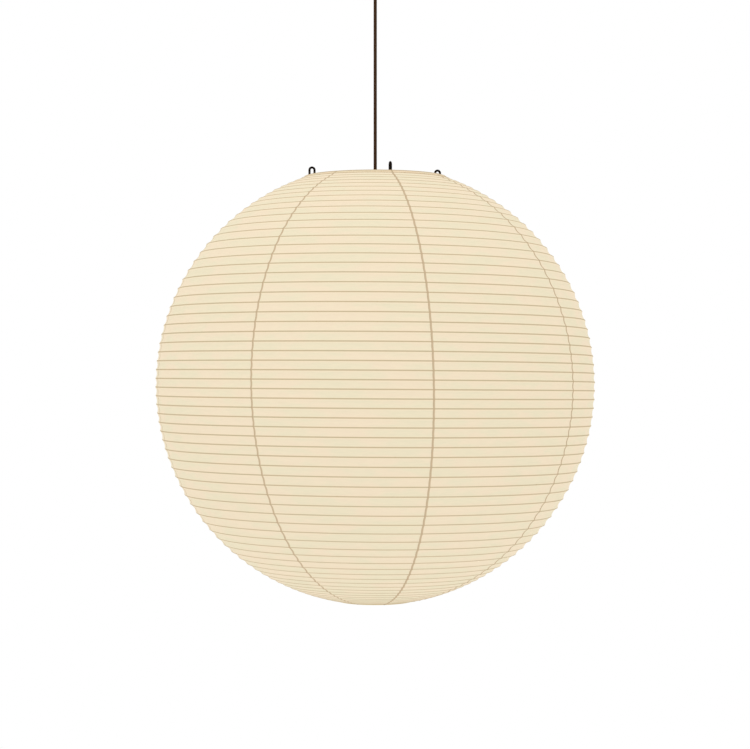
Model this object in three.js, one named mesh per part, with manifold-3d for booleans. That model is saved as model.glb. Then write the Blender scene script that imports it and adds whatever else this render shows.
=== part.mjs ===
// Round paper lantern that hangs from a ceiling on a textile cord.
//
// Eight gores of thin paper are glued over one long spiral rib. A wire frame inside holds the
// shade open: four uprights press its top and bottom rings apart, and a carrier clamps them to
// the lampholder on the end of the cord. Above, a hook, a link and a cord clamp hide in a canopy.
//
// Millimetres, +Z up. The origin is the centre of the ceiling plate's top face. Azimuths are
// measured from the front (-Y) towards +X, as LatheGeometry does once it stands upright.

import * as THREE from 'three';
import { mergeVertices } from 'three/addons/utils/BufferGeometryUtils.js';
import Module from 'manifold-3d';

const wasm = await Module();
wasm.setup();

const radians = THREE.MathUtils.degToRad;
const fullTurn = 2 * Math.PI;

// ---------------------------------------------------------------- driving dimensions

const gap = 0.3; // left between pieces that touch

// Paper shade, measured from its own centre.
const shadeRadius = 400;
const shadeCentreZ = -790;
const paperThickness = 0.4;
const goreCount = 8;
const firstSeam = radians(13.9);
const facetsPerGore = 3;
const goreRowsAbove = 6; // flat rows from the equator to each mouth
const goreRowsBelow = 7;
const goreTop = radians(70.3);
const goreBottom = radians(-81.5);

// Spiral rib. It falls as the azimuth grows, and crosses the shade's equator once.
const ribRadius = 1;
const ribInset = 4.2; // from the paper's true sphere to the rib's centre, inside the flat facets
const ribSides = 3;
const ribEquatorAzimuth = radians(203.4);
const ribTop = radians(70.1);
const ribBottom = radians(-80.9);

// Rings at the two mouths of the shade, each wrapped in a paper binding.
const topRing = { radius: 128.6, height: 378.4, wire: 2 };
const bottomRing = { radius: 55.5, height: -392.6, wire: 2 };
const bindingThickness = 0.6;

// Wire frame.
const wireRadius = 2;
const uprightCount = 4;
const firstUpright = radians(13.1);
const uprightRadius = 113.2;
const clipLegRadius = 122.5;
const clipLegFoot = 372;
const clipTop = 395.2;
const uprightBend = -300; // where an upright leaves the vertical for the base ring
const baseRing = { radius: 55.5, height: -387.4, wire: 2 };
const carrierHeight = 76.7;

// Cord and ceiling end.
const cordRadius = 3;
const cordBore = cordRadius + 0.35;
const cordTop = -42;
const cordEnd = 117; // above the shade's centre, inside the lampholder's cap
const hookWire = 1.5;
const hookBottom = -18; // centre of the hook's wire at its lowest point
const linkRadius = 8;
const canopyRim = -8;
const canopyBottom = -70;
const canopyRadius = 38;
const canopyWall = 1.5;
const clampTop = -41;
const clampBottom = -55;
const clampScrewZ = -50;
const gripScrewZ = -62;

const shadeSegments = goreCount * facetsPerGore;
const smallSegments = 16;
const wireSides = 6;

// ---------------------------------------------------------------- materials

function material(colour, roughness, metalness = 0) {
  return new THREE.MeshStandardMaterial({ color: colour, roughness, metalness });
}

const paper = material(0xf5e7c8, 0.9);
const bindingPaper = material(0xe6d8b4, 0.9);
const bamboo = material(0xc9b083, 0.7);
const brownWire = material(0x33261c, 0.45, 0.4);
const ringSteel = material(0x8f8f8c, 0.4, 0.9);
const brownCloth = material(0x3a2b22, 0.95);
const brownPlastic = material(0x2c211b, 0.5);
const brownLacquer = material(0x33261d, 0.4, 0.3);
const zincSteel = material(0xb4b6b8, 0.35, 0.95);
const brass = material(0xc8a24a, 0.3, 0.95);
const porcelain = material(0xece8de, 0.35);
const opalGlass = material(0xfff6e2, 0.2);
const capMetal = material(0xc9cbcc, 0.3, 0.95);
const blackGlass = material(0x16161a, 0.3);

// ---------------------------------------------------------------- geometry helpers

function signedVolume(position, faces) {
  const corner = [new THREE.Vector3(), new THREE.Vector3(), new THREE.Vector3()];
  let sum = 0;
  for (let i = 0; i < faces.length; i += 3) {
    corner.forEach((point, k) => point.fromBufferAttribute(position, faces[i + k]));
    sum += corner[0].dot(corner[1].clone().cross(corner[2]));
  }
  return sum / 6;
}

// Shares the vertices, drops the faces with no area and turns every face outwards.
function closedBody(geometry) {
  const bare = geometry.clone();
  bare.deleteAttribute('normal');
  bare.deleteAttribute('uv');
  const merged = mergeVertices(bare, 1e-4);
  const corners = merged.getIndex().array;
  const faces = [];
  for (let i = 0; i < corners.length; i += 3) {
    const [a, b, c] = [corners[i], corners[i + 1], corners[i + 2]];
    if (a !== b && b !== c && c !== a) faces.push(a, b, c);
  }
  if (signedVolume(merged.getAttribute('position'), faces) < 0) faces.reverse();
  merged.setIndex(faces);
  merged.computeVertexNormals();
  return merged;
}

function toManifold(geometry) {
  const body = closedBody(geometry);
  return new wasm.Manifold(new wasm.Mesh({
    numProp: 3,
    vertProperties: new Float32Array(body.getAttribute('position').array),
    triVerts: new Uint32Array(body.getIndex().array),
  }));
}

function fromManifold(manifold) {
  const mesh = manifold.getMesh();
  const geometry = new THREE.BufferGeometry();
  geometry.setAttribute('position', new THREE.BufferAttribute(mesh.vertProperties, 3));
  geometry.setIndex(Array.from(mesh.triVerts));
  geometry.computeVertexNormals();
  return geometry;
}

function cut(geometry, ...tools) {
  const left = tools.reduce((body, tool) => body.subtract(toManifold(tool)), toManifold(geometry));
  return fromManifold(left);
}

function join(geometry, ...others) {
  const whole = others.reduce((body, other) => body.add(toManifold(other)), toManifold(geometry));
  return fromManifold(whole);
}

// Turns a profile of [radius, height] points about the Z axis.
function turned(profile, segments = smallSegments, start = firstSeam) {
  const points = profile.map((point) => (
    point.isVector2 ? point : new THREE.Vector2(point[0], point[1])
  ));
  const lathe = new THREE.LatheGeometry(points, segments, start);
  return closedBody(lathe.rotateX(Math.PI / 2));
}

function closedProfile(points) {
  return [...points, points[0]];
}

// The corners of a regular polygon in a circle.
function circleCorners(radius, sides, centre = [0, 0]) {
  return Array.from({ length: sides }, (_, i) => {
    const angle = (fullTurn * i) / sides;
    return [centre[0] + radius * Math.cos(angle), centre[1] + radius * Math.sin(angle)];
  });
}

// A ring of round wire lying level.
function wireRing({ radius, height, wire }) {
  const section = circleCorners(wire, wireSides, [radius, height]);
  return turned(closedProfile(section), shadeSegments);
}

function cylinder(radius, from, to, sides = smallSegments) {
  return turned([[0, from], [radius, from], [radius, to], [0, to]], sides);
}

// A path through fixed points, so that an extrusion has one section at each of them.
class PointPath extends THREE.Curve {
  constructor(points) {
    super();
    this.points = points;
  }

  getPointAt(share) {
    return this.points[Math.round(share * (this.points.length - 1))].clone();
  }

  getTangentAt(share) {
    const at = Math.round(share * (this.points.length - 1));
    const sum = new THREE.Vector3();
    for (const i of [at - 1, at]) {
      if (i < 0 || i + 1 >= this.points.length) continue;
      sum.add(this.points[i + 1].clone().sub(this.points[i]).normalize());
    }
    return sum.normalize();
  }
}

function rod(points, radius, sides = wireSides) {
  const corners = circleCorners(radius, sides).map(([x, y]) => new THREE.Vector2(x, y));
  return closedBody(new THREE.ExtrudeGeometry(new THREE.Shape(corners), {
    steps: points.length - 1,
    bevelEnabled: false,
    extrudePath: new PointPath(points),
  }));
}

// The point at a radius, azimuth and height.
function around(radius, azimuth, height) {
  return new THREE.Vector3(radius * Math.sin(azimuth), -radius * Math.cos(azimuth), height);
}

function addPiece(parent, name, geometry, look) {
  const mesh = new THREE.Mesh(geometry, look);
  mesh.name = name;
  parent.add(mesh);
  return mesh;
}

// ---------------------------------------------------------------- ceiling end

function addCeilingPlate(parent) {
  const plateRadius = 28;
  const plateThickness = 2;
  const screwOffset = 20;
  const screwHole = 2.4;
  const legHole = hookWire + gap;
  const holeAt = (x, radius) => (
    cylinder(radius, -plateThickness - 1, 1, 12).translate(x, 0, 0)
  );
  const disc = cylinder(plateRadius, -plateThickness, 0);
  addPiece(parent, 'ceiling_plate', cut(
    disc,
    holeAt(-screwOffset, screwHole),
    holeAt(screwOffset, screwHole),
    holeAt(-linkRadius, legHole),
    holeAt(linkRadius, legHole),
  ), zincSteel);

  const headTop = -plateThickness - gap;
  const screw = [[0, headTop - 2.6], [3, headTop - 2.6], [4, headTop - 1.2], [4, headTop],
    [2, headTop], [2, 22], [0, 27]];
  for (const [side, x] of [['left', -screwOffset], ['right', screwOffset]]) {
    addPiece(parent, `ceiling_screw_${side}`, turned(screw, 12), zincSteel).position.x = x;
  }
}

// A loop of wire in the XZ plane: two legs joined by half a turn.
function wireBow(radius, centreZ, legEnd, opensUp) {
  const steps = 10;
  const way = opensUp ? 1 : -1;
  const points = [new THREE.Vector3(-radius, 0, legEnd)];
  for (let i = 0; i <= steps; i += 1) {
    const angle = (Math.PI * i) / steps;
    points.push(new THREE.Vector3(
      -radius * Math.cos(angle), 0, centreZ - way * radius * Math.sin(angle),
    ));
  }
  points.push(new THREE.Vector3(radius, 0, legEnd));
  return rod(points, hookWire);
}

function addHookAndLink(parent) {
  const wirePitch = 2 * hookWire + gap;
  addPiece(parent, 'ceiling_hook', wireBow(linkRadius, hookBottom + linkRadius, -gap, true), zincSteel);

  const linkCentre = hookBottom + wirePitch - linkRadius;
  const link = closedBody(new THREE.TorusGeometry(linkRadius, hookWire, wireSides, 20));
  const linkMesh = addPiece(parent, 'hanging_link', link, zincSteel);
  linkMesh.rotation.y = Math.PI / 2;
  linkMesh.position.z = linkCentre;

  const loopRadius = 6;
  const loopTop = linkCentre - linkRadius + wirePitch;
  addPiece(
    parent, 'hanger_loop', wireBow(loopRadius, loopTop - loopRadius, clampTop - 5, false), zincSteel,
  );
  return loopRadius;
}

// A screw along -Y, from its tip to the underside of its head, and a head if it has one.
function radialScrew(radius, tip, neck, head) {
  const profile = [[0, tip], [radius, tip], [radius, neck]];
  if (head) profile.push([head.radius, neck], [head.radius, neck + head.height]);
  profile.push([0, profile[profile.length - 1][1]]);
  return turned(profile, 12).rotateX(Math.PI / 2);
}

function addCordClamp(parent, loopRadius) {
  const clampRadius = 10;
  const screwRadius = 1.4;
  const tip = cordRadius + 0.4;
  const body = turned(closedProfile([
    [cordBore, clampBottom], [clampRadius - 1, clampBottom], [clampRadius, clampBottom + 1],
    [clampRadius, clampTop - 1], [clampRadius - 1, clampTop], [cordBore, clampTop],
  ]), 16, 0);
  const legHole = cylinder(hookWire + gap, clampTop - 5.5, clampTop + 1, 12);
  const screwHole = radialScrew(screwRadius + gap, cordRadius, clampRadius + 1);
  addPiece(parent, 'cord_clamp', cut(
    body,
    legHole.clone().translate(-loopRadius, 0, 0),
    legHole.clone().translate(loopRadius, 0, 0),
    screwHole.translate(0, 0, clampScrewZ),
  ), brownPlastic);

  const screw = radialScrew(screwRadius, tip, clampRadius + gap, { radius: 2.8, height: 1.8 });
  addPiece(parent, 'clamp_screw', screw, zincSteel).position.z = clampScrewZ;
}

function addTerminalBlock(parent) {
  const size = { x: 26, y: 10, z: 10 };
  const centreY = 18;
  const topZ = -2 - gap;
  const block = new THREE.BoxGeometry(size.x, size.y, size.z);
  block.translate(0, centreY, topZ - size.z / 2);
  const wireHoles = [-6.5, 6.5].map((x) => (
    cylinder(2, centreY - size.y, centreY + size.y, 10)
      .rotateX(-Math.PI / 2)
      .translate(x, 0, topZ - size.z / 2)
  ));
  addPiece(parent, 'terminal_block', cut(block, ...wireHoles), porcelain);
}

function addCanopy(parent) {
  const bend = 30;
  const holeRadius = canopyRadius - bend - 2.1;
  const bendCentre = { x: canopyRadius - bend, y: canopyBottom + bend };
  const shell = new THREE.Path();
  shell.moveTo(holeRadius, canopyBottom);
  shell.lineTo(bendCentre.x, canopyBottom);
  shell.absarc(bendCentre.x, bendCentre.y, bend, -Math.PI / 2, 0, false);
  shell.lineTo(canopyRadius, canopyRim);
  shell.lineTo(canopyRadius - canopyWall, canopyRim);
  shell.absarc(bendCentre.x, bendCentre.y, bend - canopyWall, 0, -Math.PI / 2, true);
  shell.lineTo(holeRadius, canopyBottom + canopyWall);
  shell.closePath();
  addPiece(parent, 'canopy_cup', turned(shell.getPoints(2), shadeSegments), brownLacquer);

  const flangeBottom = canopyBottom + canopyWall + gap;
  const grip = turned(closedProfile([
    [cordBore, canopyBottom], [holeRadius - gap, canopyBottom], [holeRadius - gap, flangeBottom],
    [9, flangeBottom], [9, flangeBottom + 2], [6.5, flangeBottom + 2],
    [6.5, clampBottom - 2.5], [cordBore, clampBottom - 2.5],
  ]), 16, 0);
  const screwHole = radialScrew(1 + gap, cordRadius, 8).translate(0, 0, gripScrewZ);
  addPiece(parent, 'canopy_grip', cut(grip, screwHole), brownPlastic);
  const screw = radialScrew(1, cordRadius + 0.4, 7.6);
  addPiece(parent, 'canopy_grub_screw', screw, zincSteel).position.z = gripScrewZ;
}

function addCord(parent) {
  const end = shadeCentreZ + cordEnd;
  const steps = Math.round((cordTop - end) / (6 * cordRadius));
  const points = [];
  for (let i = 0; i <= steps; i += 1) {
    points.push(new THREE.Vector3(0, 0, cordTop + ((end - cordTop) * i) / steps));
  }
  addPiece(parent, 'cord', rod(points, cordRadius, 8), brownCloth);
}

// ---------------------------------------------------------------- lampholder and bulb
// Heights from here on are above the shade's centre, which is also the bulb's.

function addLampholder(parent) {
  const bodyRadius = 19.5;
  const bodyBottom = 56;
  const bodyTop = 102;
  const shoulder = carrierHeight + 1 + gap;
  addPiece(parent, 'holder_body', turned(closedProfile([
    [17.2, bodyBottom], [bodyRadius, bodyBottom], [bodyRadius, shoulder], [22.5, shoulder],
    [22.5, shoulder + 4], [bodyRadius, shoulder + 4], [bodyRadius, bodyTop], [17.2, bodyTop],
  ])), brownPlastic);

  const capBottom = bodyTop + gap;
  const capWall = 1.8;
  const capBend = 11;
  const cap = new THREE.Path();
  cap.moveTo(bodyRadius, capBottom);
  cap.absarc(bodyRadius - capBend, capBottom + 10, capBend, 0, Math.PI / 2, false);
  cap.lineTo(6.6, capBottom + 10 + capBend);
  cap.lineTo(6.6, capBottom + 10 + capBend - capWall);
  cap.absarc(bodyRadius - capBend, capBottom + 10, capBend - capWall, Math.PI / 2, 0, true);
  cap.lineTo(bodyRadius - capWall, capBottom);
  cap.closePath();
  addPiece(parent, 'holder_cap', turned(cap.getPoints(2)), brownPlastic);

  const capTop = capBottom + 10 + capBend;
  addPiece(parent, 'gland_nut', turned(closedProfile([
    [cordBore, cordEnd - 2], [6.2, cordEnd - 2], [6.2, capTop + gap], [8.5, capTop + gap],
    [8.5, capTop + 8], [6.5, capTop + 13], [cordBore, capTop + 13],
  ]), 12), brownPlastic);

  addPiece(parent, 'contact_block', cylinder(16.4, 94, 101), porcelain);
  addPiece(parent, 'threaded_shell', turned(closedProfile([
    [13.9, 62], [14.5, 62], [14.5, 87], [13.9, 87],
  ])), brass);

  const tongue = new THREE.Shape([
    new THREE.Vector2(-12, 93.6), new THREE.Vector2(-12, 93), new THREE.Vector2(-7, 93),
    new THREE.Vector2(-3, 91.3), new THREE.Vector2(3, 91.3), new THREE.Vector2(3, 91.9),
    new THREE.Vector2(-2.8, 91.9), new THREE.Vector2(-6.8, 93.6),
  ]);
  const strip = new THREE.ExtrudeGeometry(tongue, { depth: 6, bevelEnabled: false });
  strip.translate(0, 0, -3).rotateX(Math.PI / 2);
  addPiece(parent, 'contact_tongue', closedBody(strip), brass);

  const nutTop = carrierHeight - wireRadius - gap;
  addPiece(parent, 'shade_ring_nut', turned(closedProfile([
    [20.2, nutTop - 6], [25, nutTop - 6], [26, nutTop - 5], [26, nutTop], [20.2, nutTop],
  ])), brownPlastic);
}

function addBulb(parent) {
  const globeRadius = 47.5;
  const glass = 1.2;
  const neckRadius = 15;
  const neckTop = 60;
  const shoulderAngle = radians(62.4); // where the neck leaves the globe, above its equator
  const wall = (path, radius, neck, upwards) => {
    const leave = new THREE.Vector2(Math.cos(shoulderAngle), Math.sin(shoulderAngle));
    leave.multiplyScalar(radius);
    const control = [neck, leave.y + (leave.x - neck) / Math.tan(shoulderAngle)];
    if (upwards) {
      path.absarc(0, 0, radius, -Math.PI / 2, shoulderAngle, false);
      path.quadraticCurveTo(control[0], control[1], neck, neckTop);
      return;
    }
    path.lineTo(neck, neckTop);
    path.quadraticCurveTo(control[0], control[1], leave.x, leave.y);
    path.absarc(0, 0, radius, shoulderAngle, -Math.PI / 2, true);
  };
  const globe = new THREE.Path();
  globe.moveTo(0, -globeRadius);
  wall(globe, globeRadius, neckRadius, true);
  wall(globe, globeRadius - glass, neckRadius - glass, false);
  addPiece(parent, 'bulb_globe', turned(globe.getPoints(5)), opalGlass);

  addPiece(parent, 'bulb_cap', turned(closedProfile([
    [12.6, neckTop + gap], [13.4, neckTop + gap], [13.1, 62], [13.1, 80], [10, 84.5],
    [6, 84.5], [6, 83.7], [9.6, 83.7], [12.6, 79.6],
  ])), capMetal);
  addPiece(parent, 'bulb_insulator', turned([
    [0, 84.8], [9.6, 84.8], [5.2, 88.6], [0, 88.6],
  ], 16), blackGlass);
  addPiece(parent, 'bulb_contact', turned([
    [0, 88.9], [4.8, 88.9], [3.6, 90.9], [0, 90.9],
  ], 16), capMetal);
}

// ---------------------------------------------------------------- wire frame

// A clip bow over the top ring, the long straight leg, and the bend in to the base ring.
function uprightPoints(azimuth) {
  const bowRadius = (clipLegRadius - uprightRadius) / 2;
  const bow = new THREE.Path();
  bow.moveTo(clipLegRadius, clipLegFoot);
  bow.absarc(clipLegRadius - bowRadius, clipTop - bowRadius, bowRadius, 0, Math.PI, false);
  const bend = new THREE.CubicBezierCurve(
    new THREE.Vector2(uprightRadius, uprightBend),
    new THREE.Vector2(uprightRadius, uprightBend - 50),
    new THREE.Vector2(baseRing.radius + 35, baseRing.height + 2),
    new THREE.Vector2(baseRing.radius + baseRing.wire + gap + 0.1, baseRing.height),
  );
  const outline = [...bow.getPoints(4), ...bend.getPoints(10)];
  return outline.map(({ x, y }) => around(x, azimuth, y));
}

function addFrame(parent) {
  for (let i = 0; i < uprightCount; i += 1) {
    const azimuth = firstUpright + (i * fullTurn) / uprightCount;
    addPiece(parent, `upright_${i + 1}`, rod(uprightPoints(azimuth), wireRadius), brownWire);
  }
  addPiece(parent, 'frame_base_ring', wireRing(baseRing), brownWire);

  const innerRadius = 20.2;
  const outerRadius = 29;
  const ring = turned(closedProfile([
    [innerRadius, carrierHeight - 1], [outerRadius, carrierHeight - 1],
    [outerRadius, carrierHeight + 1], [innerRadius, carrierHeight + 1],
  ]));
  const arms = [];
  for (let i = 0; i < uprightCount; i += 1) {
    const azimuth = firstUpright + (i * fullTurn) / uprightCount;
    arms.push(rod([
      around(outerRadius - 2.5, azimuth, carrierHeight),
      around(uprightRadius - wireRadius - gap, azimuth, carrierHeight),
    ], wireRadius));
  }
  addPiece(parent, 'carrier', join(ring, ...arms), brownWire);
}

// ---------------------------------------------------------------- shade

function paperPoint(radius, latitude) {
  return [radius * Math.cos(latitude), radius * Math.sin(latitude)];
}

// One gore of paper: the whole shell of the shade, cut to the wedge between two seams.
function addGores(parent) {
  const outer = [];
  const inner = [];
  for (let i = -goreRowsBelow; i <= goreRowsAbove; i += 1) {
    const latitude = i < 0 ? (-goreBottom * i) / goreRowsBelow : (goreTop * i) / goreRowsAbove;
    outer.push(paperPoint(shadeRadius, latitude));
    inner.unshift(paperPoint(shadeRadius - paperThickness, latitude));
  }
  const shell = toManifold(turned(closedProfile([...outer, ...inner]), shadeSegments));
  const goreAngle = fullTurn / goreCount;
  const reach = 2 * shadeRadius;
  for (let i = 0; i < goreCount; i += 1) {
    const from = firstSeam + i * goreAngle;
    const apex = around(gap / 2 / Math.sin(goreAngle / 2), from + goreAngle / 2, 0);
    const corners = [
      apex, around(reach, from, 0).add(apex), around(reach, from + goreAngle, 0).add(apex),
    ];
    const wedge = new THREE.ExtrudeGeometry(
      new THREE.Shape(corners.map(({ x, y }) => new THREE.Vector2(x, y))),
      { depth: reach, bevelEnabled: false },
    ).translate(0, 0, -shadeRadius);
    const gore = fromManifold(shell.intersect(toManifold(wedge)));
    addPiece(parent, `paper_gore_${i + 1}`, gore, paper);
  }
}

// Latitude that the rib falls through in one turn: turns lie closer at the equator and at the
// mouths than half way between them.
function ribPitch(latitude) {
  const wave = Math.sin((Math.PI * latitude) / radians(81.4));
  return radians(2.242 - 0.356 * latitude ** 2 + 0.696 * wave ** 2);
}

// The rib's centre line, with one point on each of the paper's facet edges.
function ribPoints() {
  const facet = fullTurn / shadeSegments;
  const start = Math.round((ribEquatorAzimuth - firstSeam) / facet);
  const startAzimuth = firstSeam + start * facet;
  const startLatitude = (-ribPitch(0) * (startAzimuth - ribEquatorAzimuth)) / fullTurn;
  const walk = (way) => {
    const points = [];
    let latitude = startLatitude;
    for (let i = 0; latitude < ribTop && latitude > ribBottom; i += 1) {
      const [radius, height] = paperPoint(shadeRadius - ribInset, latitude);
      points.push(around(radius, startAzimuth + way * i * facet, height));
      const half = latitude - (way * ribPitch(latitude)) / shadeSegments / 2;
      latitude -= (way * ribPitch(half)) / shadeSegments;
    }
    return points;
  };
  return [...walk(-1).reverse(), ...walk(1).slice(1)];
}

// Paper folded round a mouth ring, with a skirt glued over the outside of the gores. The fold
// leaves the ring at the angle shut. way is 1 for the top mouth and -1 for the bottom one.
function mouthBinding({ radius, height, wire }, way, shut, skirt) {
  const near = wire + gap;
  const far = near + bindingThickness;
  const open = radians(-150);
  const fold = (path, reach, from, to, back) => (
    path.absarc(radius, height, reach, way * from, way * to, way > 0 ? back : !back)
  );
  const outline = new THREE.Path();
  outline.moveTo(
    radius + far * Math.cos(open), height + way * far * Math.sin(open),
  );
  fold(outline, far, open + fullTurn, shut, true);
  const paperHeight = (r) => Math.sqrt(shadeRadius ** 2 - r ** 2);
  const skirtAt = (r, lift) => outline.lineTo(r, way * (paperHeight(r) + lift));
  skirt.forEach((r) => skirtAt(r, gap + 0.2 + bindingThickness));
  [...skirt].reverse().forEach((r) => skirtAt(r, gap + 0.2));
  fold(outline, near, shut, open + fullTurn, false);
  outline.closePath();
  return turned(outline.getPoints(3), shadeSegments);
}

function addShade(parent) {
  addGores(parent);
  addPiece(parent, 'spiral_rib', rod(ribPoints(), ribRadius, ribSides), bamboo);
  addPiece(parent, 'top_ring', wireRing(topRing), ringSteel);
  addPiece(parent, 'top_binding', mouthBinding(topRing, 1, radians(15), [134, 137]), bindingPaper);
  addPiece(parent, 'bottom_ring', wireRing(bottomRing), ringSteel);
  const bottomFold = mouthBinding(bottomRing, -1, radians(50), [58.2, 65]);
  addPiece(parent, 'bottom_binding', bottomFold, bindingPaper);
}

// ---------------------------------------------------------------- assembly

const lantern = new THREE.Group();
addCeilingPlate(lantern);
const loopRadius = addHookAndLink(lantern);
addCordClamp(lantern, loopRadius);
addTerminalBlock(lantern);
addCanopy(lantern);
addCord(lantern);

const shade = new THREE.Group();
shade.position.z = shadeCentreZ;
lantern.add(shade);
addLampholder(shade);
addBulb(shade);
addFrame(shade);
addShade(shade);

export default lantern;
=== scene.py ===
import math

import bmesh
import bpy
import numpy as np
from mathutils import Matrix, Vector, noise


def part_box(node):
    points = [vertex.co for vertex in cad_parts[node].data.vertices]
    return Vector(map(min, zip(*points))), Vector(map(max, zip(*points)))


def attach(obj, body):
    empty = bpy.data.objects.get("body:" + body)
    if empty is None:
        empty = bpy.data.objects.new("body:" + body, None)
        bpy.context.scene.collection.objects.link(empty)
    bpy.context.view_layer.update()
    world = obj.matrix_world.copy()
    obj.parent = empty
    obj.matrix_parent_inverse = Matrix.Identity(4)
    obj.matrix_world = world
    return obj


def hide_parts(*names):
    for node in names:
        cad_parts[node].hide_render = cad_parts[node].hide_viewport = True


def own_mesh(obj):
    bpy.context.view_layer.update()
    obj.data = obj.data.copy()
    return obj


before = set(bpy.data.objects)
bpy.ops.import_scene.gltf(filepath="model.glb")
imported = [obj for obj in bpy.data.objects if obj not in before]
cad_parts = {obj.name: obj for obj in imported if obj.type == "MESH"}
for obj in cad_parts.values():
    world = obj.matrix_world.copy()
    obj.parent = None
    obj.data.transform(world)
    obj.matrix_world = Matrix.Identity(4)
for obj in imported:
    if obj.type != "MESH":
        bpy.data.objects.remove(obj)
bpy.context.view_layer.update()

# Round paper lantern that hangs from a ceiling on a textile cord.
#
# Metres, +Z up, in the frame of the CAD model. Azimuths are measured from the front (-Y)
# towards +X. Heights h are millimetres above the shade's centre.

MM = 0.001


def node_box(*nodes):
    """Lowest and highest corner of several CAD nodes together."""
    boxes = [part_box(node) for node in nodes]
    low = Vector(min(box[0][k] for box in boxes) for k in range(3))
    high = Vector(max(box[1][k] for box in boxes) for k in range(3))
    return low, high


# ------------------------------------------------------------------ driving dimensions

GORES = [f"paper_gore_{i}" for i in range(1, 9)]
GORE_LOW, GORE_HIGH = node_box(*GORES)
SHADE_R = round(GORE_HIGH.x, 4)
BOTTOM_LATITUDE = math.radians(-81.5)
SHADE_Z = GORE_LOW.z - SHADE_R * math.sin(BOTTOM_LATITUDE)
TOP_LATITUDE = math.asin((GORE_HIGH.z - SHADE_Z) / SHADE_R)
GORE_ANGLE = 2 * math.pi / len(GORES)
FIRST_SEAM = math.radians(13.95)
SEAM_LEAN = -0.0155  # radians that a seam's azimuth turns for each radian of latitude
SEAM_HALF = 1.7 * MM  # half the width of the glued overlap

RIB_AZIMUTH = math.radians(203.4)  # where the rib crosses the equator
RIB_LATITUDES = (math.radians(-80.9), math.radians(70.1))
PAPER = 0.12 * MM

TOP_RING = {"radius": 128.6 * MM, "h": 378.4, "wire": 2 * MM}
BOTTOM_RING = {"radius": 55.5 * MM, "h": -392.6, "wire": 2 * MM}
BASE_RING = {"radius": 55.5 * MM, "h": -387.4, "wire": 2 * MM}
FRAME_WIRE = 2 * MM
UPRIGHT_AZIMUTHS = [math.radians(13.1) + 2 * math.pi * i / 4 for i in range(4)]


def above(h):
    """The Z of a height in millimetres above the shade's centre."""
    return SHADE_Z + h * MM


def around(radius, azimuth, z):
    """The point at a radius and an azimuth round the Z axis."""
    return Vector((radius * math.sin(azimuth), -radius * math.cos(azimuth), z))


def in_mm(points):
    """Metres from an outline of millimetres, its heights above the shade's centre."""
    return [(r * MM, above(h)) for r, h in points]


# ------------------------------------------------------------------ camera, light and floor


def make_camera():
    """Level with the shade's middle, which stands a little below the picture's middle."""
    distance, focal_length = 3.696, 97.0
    data = bpy.data.cameras.new("camera")
    data.lens = focal_length
    data.sensor_width = 36
    data.shift_x = -0.0003
    data.shift_y = 0.0142
    camera = bpy.data.objects.new("camera", data)
    camera.location = (0, -distance, SHADE_Z)
    camera.rotation_euler = (math.pi / 2, 0, 0)
    bpy.context.collection.objects.link(camera)
    bpy.context.scene.camera = camera


def make_world():
    """White all round, and colours shown as they are."""
    world = bpy.data.worlds.new("white_studio")
    world.use_nodes = True
    background = world.node_tree.nodes["Background"]
    background.inputs["Color"].default_value = (1, 1, 1, 1)
    background.inputs["Strength"].default_value = 1.0
    bpy.context.scene.world = world
    bpy.context.scene.view_settings.view_transform = "Standard"


def make_softbox():
    """A wide, weak light over the front of the shade."""
    data = bpy.data.lights.new("softbox", "AREA")
    data.shape = "DISK"
    data.size = 2.5
    data.energy = 7
    light = bpy.data.objects.new("softbox", data)
    light.location = (-0.6, -1.6, SHADE_Z + 2.6)
    aim = Vector((0, 0, SHADE_Z)) - light.location
    light.rotation_euler = aim.to_track_quat("-Z", "Y").to_euler()
    bpy.context.collection.objects.link(light)


# ------------------------------------------------------------------ mesh tools


def slot_of(material):
    """The record's slot that a material is for: its name, without the number that Blender adds."""
    return material.name.split(".")[0]


def new_piece(name, data, look, body, *nodes):
    """An object that wears a look, rides a body and stands for CAD nodes."""
    piece = bpy.data.objects.new(name, data)
    bpy.context.collection.objects.link(piece)
    data.materials.append(look)
    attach(piece, body)
    if nodes:
        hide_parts(*nodes)
    return piece


def mesh_from(name, vertices, faces, sharp=35, attributes=None):
    """A smooth mesh with outward faces and no doubled points."""
    mesh = bpy.data.meshes.new(name)
    mesh.from_pydata(vertices, [], faces)
    for key, (kind, values) in (attributes or {}).items():
        layer = mesh.attributes.new(key, kind, "POINT")
        field = "vector" if kind == "FLOAT_VECTOR" else "value"
        layer.data.foreach_set(field, np.asarray(values, np.float32).ravel())
    work = bmesh.new()
    work.from_mesh(mesh)
    bmesh.ops.remove_doubles(work, verts=work.verts, dist=1e-6)
    bmesh.ops.dissolve_degenerate(work, edges=work.edges, dist=1e-6)
    bmesh.ops.recalc_face_normals(work, faces=work.faces)
    work.to_mesh(mesh)
    work.free()
    mesh.shade_smooth()
    mesh.set_sharp_from_angle(angle=math.radians(sharp))
    return mesh


def grid_faces(rows, columns, closed_rows=False, closed_columns=False):
    """Faces between points that lie in rows, all of the same length."""
    faces = []
    for i in range(rows if closed_rows else rows - 1):
        for j in range(columns if closed_columns else columns - 1):
            a, b = i * columns + j, i * columns + (j + 1) % columns
            step = columns if i + 1 < rows else -i * columns
            faces.append((a, b, b + step, a + step))
    return faces


def arc(centre, radius, start, end, steps):
    """Points [r, z] of an arc between two angles in degrees, from outwards at 0 to up at 90."""
    angles = [math.radians(start + (end - start) * i / steps) for i in range(steps + 1)]
    return [(centre[0] + radius * math.cos(a), centre[1] + radius * math.sin(a)) for a in angles]


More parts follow.
